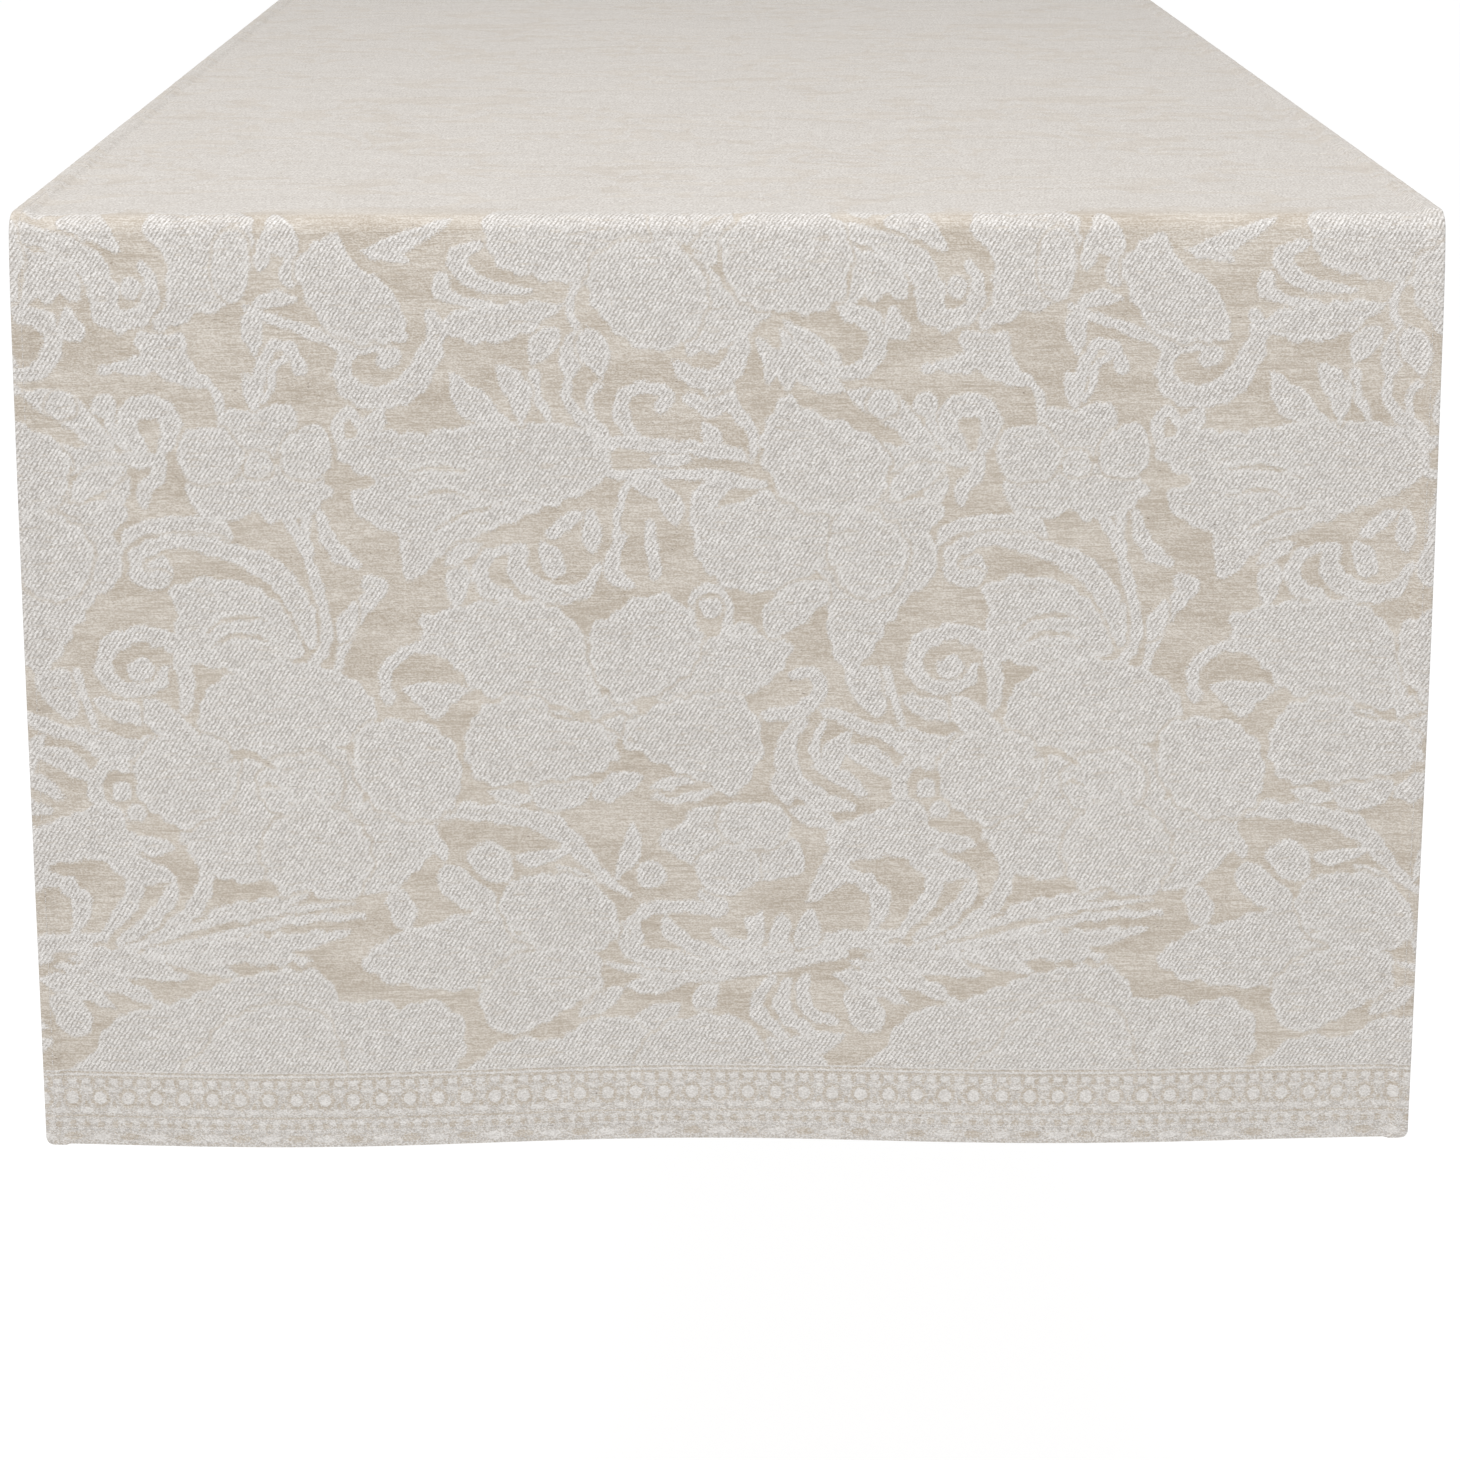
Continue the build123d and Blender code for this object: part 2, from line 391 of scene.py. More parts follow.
scrolls(front,
    [(50, 127, 5), (44, 128, 5), (40.5, 123, 5), (43, 116.5, 5), (60, 113.5, 4.5), (84, 121.5, 8),
     (93, 129, 8), (99, 140, 7), (102, 151, 3)])
discs(back, (49, 123.5, 4.6), (41, 160, 4.2))
leaves(front, (112, 150, 117, 136, 0, 5), (42, 171, 61, 186, -2, 10))

# ---- the blossom beside the peony
petals(back,
    [(140, 143), (150, 138.5), (175, 135), (188, 138), (196, 145), (200, 153), (204, 175), (186, 173),
     (165, 171), (150, 157), (143, 151)],
    [(234, 152), (262, 148), (272, 151), (270, 158), (262, 167), (250, 174), (236, 176), (224, 172)])
petals(front,
    [(201, 146), (209, 141), (218, 134), (229, 134), (237, 141), (240, 151), (234, 162), (222, 170),
     (210, 172), (202, 160)],
    [(218, 178), (234, 172), (250, 170), (259, 177), (262, 188), (259, 199), (251, 208), (242, 203),
     (220, 193), (212, 187)],
    [(157, 182), (163, 175), (174, 171), (186, 174), (197, 180), (207, 184), (210, 192), (203, 199),
     (176, 203), (163, 203), (157, 196)])
discs(back, (209, 178, 8))
slits(
    (2.6, (203, 181), (209, 177), (216, 179)), (2.2, (199, 178), (191, 179.5), (185, 176)),
    (1.8, (199, 160), (200.5, 172)), (1.4, (211, 172), (222, 174.5)), (1.4, (206, 184), (209, 190)))
scrolls(back,
    [(236, 140, 3), (238, 133, 3), (244, 130.5, 3), (249, 135, 3), (250, 143, 3), (248, 150, 3)],
    [(151, 153, 3), (142, 152, 4), (134, 154.5, 4), (128.5, 160, 4), (127.5, 167, 3.5), (129, 172, 2.5)],
    [(262, 178, 3), (271, 177, 5), (279, 173.5, 5), (283, 167, 4.5), (279, 161.5, 4), (273, 163, 3)],
    [(277, 180, 3), (271.5, 186, 6), (270.5, 195, 7), (275, 204, 7), (284, 210, 6), (294, 212, 3)],
    [(284, 181, 2.5), (281, 187, 3), (281.5, 194, 3), (285, 200, 2)])
discs(front, (243.5, 138, 3.6))
leaves(back,
    (250, 147, 260, 146, 0, 5), (134, 168, 158, 168, -2, 8), (286, 200, 294, 184, 2, 7),
    (267, 199, 272, 211, 0, 7))
discs(back, (145.5, 174, 4.4))

# ---- scrolls and a small flower under the blossom
leaves(back,
    (164, 206, 180, 209, -1, 4.5), (202, 209, 219, 201, 1, 8), (222, 205, 239, 203, 1, 4),
    (172, 231, 193, 228, -2, 5), (188, 235, 204, 241, -1, 4), (216, 219, 209, 240, 2, 6))
petals(back,
    [(178, 204), (188, 203), (200, 202), (200, 208), (190, 213.5), (183, 212)],
    [(225, 226), (228, 221), (233, 220), (236, 214), (244, 212), (253, 216), (252, 226), (244, 232),
     (234, 233)], [(254, 228), (268, 222), (276, 228), (276, 237), (266, 240), (256, 239)])
scrolls(back,
    [(224, 209, 2), (236, 209, 3), (245, 206, 2)],
    [(148, 230, 3), (143, 222, 4.5), (144, 215, 5), (152, 213, 5), (178, 216.5, 6), (190, 222, 7),
     (206, 240, 3), (214, 246, 2)])
discs(back, (222, 238, 5.2))
petals(front,
    [(248, 213), (258, 211), (269, 213), (272, 221), (266, 227), (254, 228), (248, 222)],
    [(239, 234), (250, 227), (260, 232), (260, 241), (250, 246), (242, 243)])
slits((2, (261, 236), (265, 236.5)), (1.6, (248, 224), (252, 226.5), (256, 225)))
leaves(back,
    (240, 243, 249, 253, 1, 7), (279, 248, 291, 222, -3, 9), (272, 214, 290, 220, 1, 6),
    (36, 223, 51, 226, -1, 6), (23, 171, 47, 178.5, -1, 7), (20, 190, 60, 184, -2, 7),
    (12, 183, 45, 194, 2, 6), (2, 189, 24, 203, 2, 7), (-8, 196, 12, 208, 1, 5))
petals(back,
    [(-2, 222), (8, 217), (27, 211), (35, 218), (38, 227), (32, 233), (22, 230), (2, 232)],
    [(4, 164), (10, 160), (17, 161), (19, 168), (17, 177), (11, 176)])
discs(back, (38, 213, 3.4), (33, 205, 3.6))
scrolls(back,
    [(-3, 238, 4), (8, 239, 5), (15, 243.5, 6), (17, 250, 6), (14, 258, 3)],
    [(-4, 176, 3), (8, 181, 5), (21, 187, 3)],
    [(37, 197, 3), (30, 194.5, 4.5), (24, 199, 5), (23.5, 207, 5), (29, 212, 3)])
scrolls(front, [(18, 160, 2), (20.5, 170, 2.5), (24, 181, 2)])

# ---- the peony
petals(back,
    [(62, 186), (62, 172), (70, 163), (84, 158), (98, 158), (112, 162), (122, 170), (123, 180), (112, 188),
     (78, 190)], [(52, 216), (64, 208), (78, 206), (88, 214), (90, 228), (84, 238), (64, 236)],
    [(114, 214), (130, 208), (144, 214), (143, 228), (136, 237), (126, 243), (116, 240)],
    [(72, 204), (80, 188), (98, 184), (114, 192), (120, 204), (112, 216), (94, 220), (78, 216)])
petals(front,
    [(41, 190), (52, 185), (66, 186), (74, 194), (72, 206), (64, 214), (52, 218), (38, 205)],
    [(120, 182), (132, 179), (144, 182), (152, 190), (154, 202), (150, 212), (140, 216), (126, 212),
     (118, 202), (116, 190)],
    [(84, 222), (94, 212), (108, 212), (118, 220), (121, 232), (116, 243), (107, 245.5), (98, 242),
     (90, 243), (84, 234)],
    [(82, 202), (88, 194), (100, 192), (110, 198), (110, 208), (100, 214), (88, 212)])
slits(
    (3.5, (71, 194), (79, 191.5), (88, 197)), (1.6, (80, 204), (86, 203), (93, 206)),
    (1.8, (92, 209), (97, 210)), (1.6, (84, 187), (90, 188.5)), (1.6, (101, 203), (104, 208)))

# ---- the lily low on the drop
petals(back,
    [(118, 270), (124, 263), (134, 257.5), (146, 255), (160, 250), (172, 247), (180, 256), (182, 268),
     (172, 277), (158, 281), (130, 278)],
    [(145, 239), (150, 233), (165, 245), (164, 251), (156, 250), (149, 246)])
petals(front,
    [(168, 248), (174, 239), (188, 238), (200, 241), (208, 250), (209.5, 259), (204, 267), (192, 268),
     (178, 264), (170, 256)],
    [(163, 276), (176, 268), (192, 266), (202, 270), (204, 280), (197, 286), (180, 296), (170, 298.5),
     (162, 293), (160, 284)],
    [(156, 231), (159, 226.5), (166, 225.5), (171, 231), (171, 239), (166, 240), (159, 236)])
leaves(back, (129, 242, 135, 258, 0, 9))
slits((1.6, (173, 259), (178, 261)), (1.4, (168, 267), (174, 266)))

# ---- the long acanthus spray
scrolls(back,
    [(24, 260, 3), (35.5, 245, 6), (35, 238, 3)], [(30, 262, 3), (40, 255, 5), (47.5, 247, 5), (50, 240, 3)],
    [(40, 262, 2.5), (52, 254, 4.5), (60, 245, 5.5), (62, 236, 4.5), (59.5, 230, 2.5)],
    [(32, 265, 2.5), (60, 255, 3), (80, 250.5, 3), (114, 247, 1.5)],
    [(40, 266, 2.5), (90, 254, 3), (118, 252, 1.5)],
    [(-10, 265, 3), (10, 264.5, 3), (30, 267, 3), (52, 268, 2.5)],
    [(248, 253, 3), (235, 250.5, 4), (222, 251.5, 4.5), (215.5, 256, 4.5), (217, 262, 4)],
    [(210, 257, 3), (213.5, 265, 5.5), (221, 270, 6), (256, 273, 4.5), (296, 264, 3)],
    [(227, 256, 4), (231, 262, 5), (242, 267.5, 4.5), (256, 269, 3), (294, 260, 2.5)],
    [(257, 256, 3), (261, 261, 4), (257, 265, 4), (250, 264, 4), (245, 260, 3)],
    [(203, 272, 2), (240, 278, 3.5), (292, 268, 3)],
    [(266, 278, 3), (260.5, 286, 4.5), (262, 293, 5), (270, 300, 3)],
    [(272, 279, 3), (269, 287, 4.5), (273, 294, 5), (281, 299, 3)],
    [(278, 277, 2.5), (277, 285, 4.5), (281, 292, 4), (289, 294, 2.5)])
petals(back,
    [(27, 233), (36, 229.5), (46, 233), (51, 238), (42, 240), (34, 238)],
    [(4, 283), (13, 283), (19, 291), (15, 298), (8, 296)])
leaves(back,
    (60, 251, 99, 243, -2, 6), (46, 265, 113, 258, -2, 8), (50, 267, 99, 269, 2, 7),
    (48, 269, 73, 274, 1, 5), (12, 268, 54, 276, 2, 9), (6, 271, 46, 287, 2, 6), (0, 276, 27, 287, 2, 7),
    (-6, 261, 26, 259, -2, 5), (266, 267, 270, 253, -1, 7), (260, 268, 262, 252, 1, 4),
    (213, 281, 236, 278, -1, 6), (239, 291, 246, 281, 1, 8), (216, 294, 232, 289, -2, 9),
    (268, 304, 292, 300, -2, 8), (196, 292, 212, 282, 1, 8))
leaves(front, (276, 266, 280, 251, -1, 8))

design.waver()

# ---- sizes, in millimetres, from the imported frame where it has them
MM = 0.001
_, top_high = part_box("top_cloth")
drop_low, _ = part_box("front_drop_cloth")
HALF_WIDTH = top_high.x / MM
HALF_FLAT = top_high.y / MM             # the bend starts at the outer face of the CAD's
EDGE_RADIUS = 6.0                       # of the table edge that the runner bends over
CLOTH = 0.7
BEND = math.pi / 2 * (EDGE_RADIUS + CLOTH / 2)
DROP = -drop_low.z / MM - EDGE_RADIUS   # straight length below the bend
END = HALF_FLAT + BEND + DROP           # along the cloth, from its middle to a cut end
SIDE_HEM = 5.0
END_HEM = 8.0
EDGE_TURN = HALF_WIDTH - 1.5 * CLOTH    # where the cloth starts to turn under
END_TURN = END - 1.5 * CLOTH
HEM_STACK = 2 * CLOTH                   # the turned-under layers
STITCH_IN = 3.8                         # stitching line, in from a side edge
END_STITCH_IN = 6.8
THREAD = 0.3
STITCH_LENGTH = 2.5
STITCH_PITCH = 3.1
DESIGN_START = HALF_FLAT + BEND / 2     # the design's y = 0 is at the middle of the front bend
BORDER = 29.6                           # the woven border's height above a cut end


def smooth(x, low, high):
    t = ((x - low) / (high - low)).clip(0, 1)
    return t * t * (3 - 2 * t)


# ---- how the cloth lies: x across, s along it from the middle, n out from its face side
def ripple(x, s):
    """How far the cloth stands off the flat line: it hangs in slow, shallow waves below the table edge."""
    hang = (np.abs(s) - HALF_FLAT - BEND).clip(0)
    free = smooth(hang, 0, 150)
    waves = (0.8 * np.sin(x / 61 + 0.6) * np.cos(hang / 95 + x / 210)
             + 0.7 * np.sin(x / 37 - hang / 120 + 1.9)
             - 2.6 * np.cos((x + 20) / 48) * smooth(hang, 135, 280))
    belly = 2.4 * (1 - np.exp(-hang / 13)) + 1.0 * np.sin(np.pi * (hang / DROP).clip(0, 1))
    return belly + free * waves * np.where(s > 0, -0.8, 1)


def drape(x, s, n):
    """The place of a point of the cloth in the frame, in metres."""
    side = np.where(s < 0, -1.0, 1.0)
    along = np.abs(s)
    turn = ((along - HALF_FLAT) / (EDGE_RADIUS + CLOTH / 2)).clip(0, math.pi / 2)
    hang = (along - HALF_FLAT - BEND).clip(0)
    n = n + ripple(x, s)
    y = np.minimum(along, HALF_FLAT) + (EDGE_RADIUS + n) * np.sin(turn)
    z = (EDGE_RADIUS + n) * np.cos(turn) - EDGE_RADIUS - hang
    return np.stack([x + 0 * s, side * y, z], -1) * MM


def raise_over_hem(x):
    """The face lifts over the folded side hem and lies flat between the hems."""
    return HEM_STACK * smooth(np.abs(x), HALF_WIDTH - SIDE_HEM - 3, HALF_WIDTH - SIDE_HEM)


# ---- meshes
def new_object(name, data):
    made = bpy.data.objects.new(name, data)
    bpy.context.scene.collection.objects.link(made)
    return made


def make_object(name, points, faces, materials=(), indices=None, attributes=None):
    points, faces = points.reshape(-1, 3), np.asarray(faces).reshape(-1, 4)
    mesh = bpy.data.meshes.new(name)
    mesh.vertices.add(len(points))
    mesh.vertices.foreach_set("co", points.astype(np.float32).ravel())
    mesh.loops.add(faces.size)
    mesh.loops.foreach_set("vertex_index", faces.astype(np.int32).ravel())
    mesh.polygons.add(len(faces))
    mesh.polygons.foreach_set("loop_start", np.arange(0, faces.size, 4, dtype=np.int32))
    for material in materials:
        mesh.materials.append(material)
    if indices is not None:
        mesh.polygons.foreach_set("material_index", indices.astype(np.int32).ravel())
    mesh.update(calc_edges=True)
    mesh.validate()
    mesh.polygons.foreach_set("use_smooth", np.ones(len(mesh.polygons), bool))
    mesh.set_sharp_from_angle(angle=math.radians(50))
    for key, values in (attributes or {}).items():
        kind, field = ("FLOAT_VECTOR", "vector") if values.shape[-1] == 3 else ("FLOAT", "value")
        layer = mesh.attributes.new(key, kind, "POINT")
        layer.data.foreach_set(field, values.astype(np.float32).ravel())
    return new_object(name, mesh)


def sheet_faces(rows, columns, flip):
    """Quads of a thin closed sheet: its outer side, its inner side and the rims between them."""
    grid = np.arange(rows * columns).reshape(rows, columns)
    outer, inner = grid, grid + rows * columns

    def quads(a, b, c, d):
        return np.stack([a, b, c, d], -1).reshape(-1, 4)

    face = quads(outer[:-1, :-1], outer[:-1, 1:], outer[1:, 1:], outer[1:, :-1])
    back = quads(inner[:-1, :-1], inner[1:, :-1], inner[1:, 1:], inner[:-1, 1:])
    rims = np.vstack([quads(outer[0, 1:], outer[0, :-1], inner[0, :-1], inner[0, 1:]),
                      quads(outer[-1, :-1], outer[-1, 1:], inner[-1, 1:], inner[-1, :-1]),
                      quads(outer[:-1, 0], outer[1:, 0], inner[1:, 0], inner[:-1, 0]),
                      quads(outer[1:, -1], outer[:-1, -1], inner[:-1, -1], inner[1:, -1])])
    faces = np.vstack([face, back, rims])
    sides = np.concatenate([np.zeros(len(face)), np.ones(len(back)), np.ones(len(rims))])
    return (faces[:, ::-1] if flip else faces), sides


WRAP = [math.radians(a) for a in (15, 45, 75, 105, 135, 165, 180)]     # turns round a folded edge
CORNER = 3.0            # radius of the corners of the ends
RELIEF = 0.1            # the woven figure stands up by this


def corner_inset(x, s):
    """The place across, drawn in where it comes close to a corner of the runner."""
    near = ((CORNER - (END - np.abs(s))) / CORNER).clip(0, 1)
    inset = CORNER * (1 - np.sqrt(1 - (0.98 * near) ** 2))
    return x - np.sign(x) * inset * smooth(np.abs(x), HALF_WIDTH - 14, EDGE_TURN)


def cloth_columns():
    """Across the cloth: (centre x, side, angle round the folded edge) of each column of points."""
    hem = HALF_WIDTH - SIDE_HEM - 3.5
    middle = np.linspace(-hem, hem, int(2 * hem / STEP) + 1)
    rim = np.linspace(hem, EDGE_TURN, 11)[1:]
    flat = np.concatenate([-rim[::-1], middle, rim])
    turns = np.array(WRAP)
    x = np.concatenate([np.full(len(turns), -EDGE_TURN), flat, np.full(len(turns), EDGE_TURN)])
    side = np.where(x < 0, -1.0, 1.0)
    angle = np.concatenate([turns[::-1], np.zeros(len(flat)), turns])
    return x, side, angle


def make_cloth(name, stations, hem_turns, materials):
    """A length of the runner along its stations; hem_turns folds its last end back."""
    centre, side, angle = cloth_columns()
    turn = np.concatenate([np.zeros(len(stations)), WRAP if hem_turns else []])
    way = 1.0 if stations[-1] > stations[0] else -1.0
    stations = np.concatenate([stations, np.full(len(turn) - len(stations), stations[-1])])
    s, psi = stations[:, None], turn[:, None]
    middle = raise_over_hem(centre)[None, :] - CLOTH / 2
    layers, flats, fields = [], [], []
    for radius in (1.5 * CLOTH, 0.5 * CLOTH):
        x = centre + side * radius * np.sin(angle)
        reach = radius * np.cos(angle)[None, :]
        along = s + way * reach * np.sin(psi)
        n = middle + reach * np.cos(psi)
        u = centre + side * CLOTH * angle + HALF_WIDTH + 0 * s
        cut = s + way * CLOTH * psi + 0 * u
        v = -cut - DESIGN_START
        end = END - np.abs(cut)
        found = [look_up(getattr(design, key), u, v) for key in LAYERS]
        if radius > CLOTH:
            figure = smooth(np.maximum(found[0], found[1]), -0.6, 0.6) * (end > BORDER)
            n = n + RELIEF * figure * (psi == 0)
        layers.append(drape(corner_inset(x + 0 * s, along), along, n))
        flats.append(np.stack([u, v, end], -1))
        fields.append(found)
    faces, sides = sheet_faces(len(stations), len(centre), way < 0)
    attributes = {"flat": np.stack(flats)}
    for k, key in enumerate(LAYERS):
        attributes[key] = np.stack([f[k] for f in fields])[..., None]
    return make_object(name, np.stack(layers), faces, materials, sides, attributes)


def tube(rings, sides):
    """The point numbers of a tube, ring by ring, and its faces without the ends."""
    grid = np.arange(rings * sides).reshape(rings, sides)
    turned = np.roll(grid, -1, 1)
    return grid, np.stack([grid[:-1], turned[:-1], turned[1:], grid[1:]], -1).reshape(-1, 4)


def make_strip(name, loop, stations, across, material):
    """A hem: the closed loop of (place, n) points swept along the stations."""
    loop = np.array(loop)
    along = np.repeat(stations[:, None], len(loop), 1)
    place, n = (loop[:, k] + 0 * along for k in (0, 1))
    points = drape(along, place, n) if across else drape(place, along, n)
    count = len(loop)
    grid, faces = tube(len(stations), count)
    caps = []
    for row, flip in ((grid[0], True), (grid[-1], False)):
        for k in range(count // 2 - 1):
            quad = [row[k], row[k + 1], row[count - 2 - k], row[count - 1 - k]]
            caps.append(quad[::-1] if flip else quad)
    flat = np.stack([place + HALF_WIDTH, -along - DESIGN_START, 0 * place + 99], -1)
    return make_object(name, points, np.vstack([faces, caps]), [material],
                       attributes={"flat": flat.reshape(-1, 3)})


def make_stitches(name, runs, material):
    """A row of bowed stitches, each given as (x, s, n, runs lengthwise, outward or inward)."""
    rings, sides = 7, 6
    t = np.linspace(-1, 1, rings)
    around = np.arange(sides) / sides * 2 * math.pi
    radius = THREAD / 2 * np.sqrt(1 - (0.985 * t) ** 4)
    along = t[:, None] * STITCH_LENGTH / 2 + 0 * around
    out = radius[:, None] * np.sin(around) + (0.12 - 0.2 * t**2)[:, None]
    aside = radius[:, None] * np.cos(around)
    points, faces = [], []
    grid, faces_round = tube(rings, sides)
    ends = [ring[corners] for corners in ([0, 1, 2, 3], [0, 3, 4, 5]) for ring in (grid[0][::-1], grid[-1])]
    template = np.vstack([faces_round, ends])
    for x, s, n, lengthwise, outward in runs:
        slant = 0.04 * along
        if lengthwise:
            points.append(drape(x + aside + slant, s + along, n + outward * out))
        else:
            points.append(drape(x + along, s + aside + slant, n + outward * out))
        faces.append(template + len(faces) * rings * sides)
    return make_object(name, np.stack(points), np.vstack(faces), [material])


# ---- materials
class Nodes:
    """The shader nodes of one material, written as arithmetic."""

    def __init__(self, name):
        self.material = bpy.data.materials.new(name)
        self.material.use_nodes = True
        self.tree = self.material.node_tree
        self.shader = self.tree.nodes["Principled BSDF"]

    def add(self, kind, inputs, output=0, **settings):
        node = self.tree.nodes.new(kind)
        for key, value in settings.items():
            setattr(node, key, value)
        self.feed(node, inputs)
        return node.outputs[output]

    def feed(self, node, inputs):
        for key, value in inputs.items():
            if isinstance(value, bpy.types.NodeSocket):
                self.tree.links.new(value, node.inputs[key])
            else:
                node.inputs[key].default_value = value

    def math(self, operation, *values):
        return self.add("ShaderNodeMath", dict(enumerate(values)), operation=operation)

    def times(self, a, b):
        return self.math("MULTIPLY", a, b)

    def plus(self, a, b):
        return self.math("ADD", a, b)

    def scaled(self, value, factor, offset):
        return self.math("MULTIPLY_ADD", value, factor, offset)

    def larger(self, a, b):
        return self.math("MAXIMUM", a, b)

    def step(self, value, low, high):
        limits = {"Value": value, "From Min": low, "From Max": high}
        return self.add("ShaderNodeMapRange", limits, interpolation_type="SMOOTHSTEP")

    def mix(self, factor, a, b):
        return self.add("ShaderNodeMix", {0: factor, 6: a, 7: b}, 2, data_type="RGBA")

    def blend(self, factor, a, b):
        return self.add("ShaderNodeMix", {0: factor, 2: a, 3: b}, 0, data_type="FLOAT")

    def noise(self, x, y, length, height, seed, detail=2.0):
        """Noise from 0 to 1, its grains about length by height mm."""
        place = self.add("ShaderNodeCombineXYZ", {0: self.times(x, 1 / length), 1: self.times(y, 1 / height),
                                                  2: seed})
        return self.add("ShaderNodeTexNoise", {"Vector": place, "Scale": 1.0, "Detail": detail}, "Fac")

    def attribute(self, name, output):
        return self.add("ShaderNodeAttribute", {}, output, attribute_name=name)

    def flat(self):
        """The place on the flat cloth: x and y of the design, and the distance from a cut end."""
        split = self.tree.nodes.new("ShaderNodeSeparateXYZ")
        self.feed(split, {0: self.attribute("flat", "Vector")})
        return split.outputs

    def finish(self, colour, height, depth, roughness, sheen):
        bump = self.add("ShaderNodeBump", {"Distance": depth * MM, "Strength": 1.0, "Height": height})
        self.feed(self.shader, {"Normal": bump, "Base Color": colour, "Roughness": roughness,
                                "Specular IOR Level": 0.25, "Sheen Weight": sheen, "Sheen Roughness": 0.5})
        return self.material


# colours of the yarns
GROUND = (0.615, 0.562, 0.498, 1)
GROUND_DARK = (0.462, 0.394, 0.318, 1)
GROUND_LIGHT = (0.750, 0.702, 0.640, 1)
FIGURE = (0.890, 0.864, 0.837, 1)
FIGURE_DARK = (0.430, 0.396, 0.362, 1)
SATIN = (0.885, 0.865, 0.840, 1)
FLECK = (0.16, 0.11, 0.08, 1)
TWILL = 1.57            # from one twill line to the next, across
TWILL_LEAN = 0.62
PAINTED_SHEEN_FADE = (355.0, 341.0)   # distances from a cut end between which painted sheen comes in on the tabletop: the figure fades there and the tone lightens
PAINTED_SHEEN_CONTRAST = 0.34         # painted sheen on the tabletop: what is left of the figure there, and what it covers at least, which lightens the whole tabletop
PAINTED_SHEEN_COVER = 0.42


def border_figure(m, x, e):
    """Rows of small motifs along the border: how much the figure covers, and how bright it is."""
    pitch = REPEAT_X / 28

    def row(every, shift, height, half_x, half_y):
        """A row of ovals, each with the given half sizes."""
        dx = m.math("DIVIDE", m.math("PINGPONG", m.plus(x, shift), every / 2), half_x)
        dy = m.math("DIVIDE", m.math("SUBTRACT", e, height), half_y)
        return m.step(m.math("SQRT", m.plus(m.times(dx, dx), m.times(dy, dy))), 1.18, 0.82)

    def band(low, high):
        middle, half = (low + high) / 2, (high - low) / 2
        return m.step(m.math("ABSOLUTE", m.math("SUBTRACT", e, middle)), half + 0.2, half - 0.2)

    gaps = [band(28.2, 28.9), band(26.3, 27.2), band(11.2, 12.0),
            row(pitch, 0, 18.6, 3.6, 3.9), row(pitch / 2, pitch / 4, 24.8, 0.9, 1.9),
            row(pitch / 2, 0, 8.4, 1.3, 1.2), row(2 * pitch, pitch, 3.6, 3.4, 1.5),
            row(pitch, pitch / 2, 16.0, 0.8, 1.5)]
    cover = 0.7
    for gap in gaps:
        cover = m.times(cover, m.scaled(gap, -0.62, 1.0))
    bright = 0.0
    motifs = [band(28.9, 29.6), band(27.3, 28.0), row(pitch, 0, 18.6, 2.3, 2.5),
              row(pitch / 2, 0, 25.0, 1.7, 1.0), row(pitch, pitch / 2, 21.8, 2.3, 0.7),
              row(pitch, pitch / 2, 13.9, 2.6, 1.1), row(2 * pitch, 0, 3.4, 3.6, 1.4),
              row(pitch / 2, pitch / 4, 9.6, 1.2, 0.9), row(pitch / 2, pitch / 4, 6.6, 1.2, 0.8)]
    for motif in motifs:
        bright = m.larger(bright, motif)
    return m.larger(cover, bright), bright


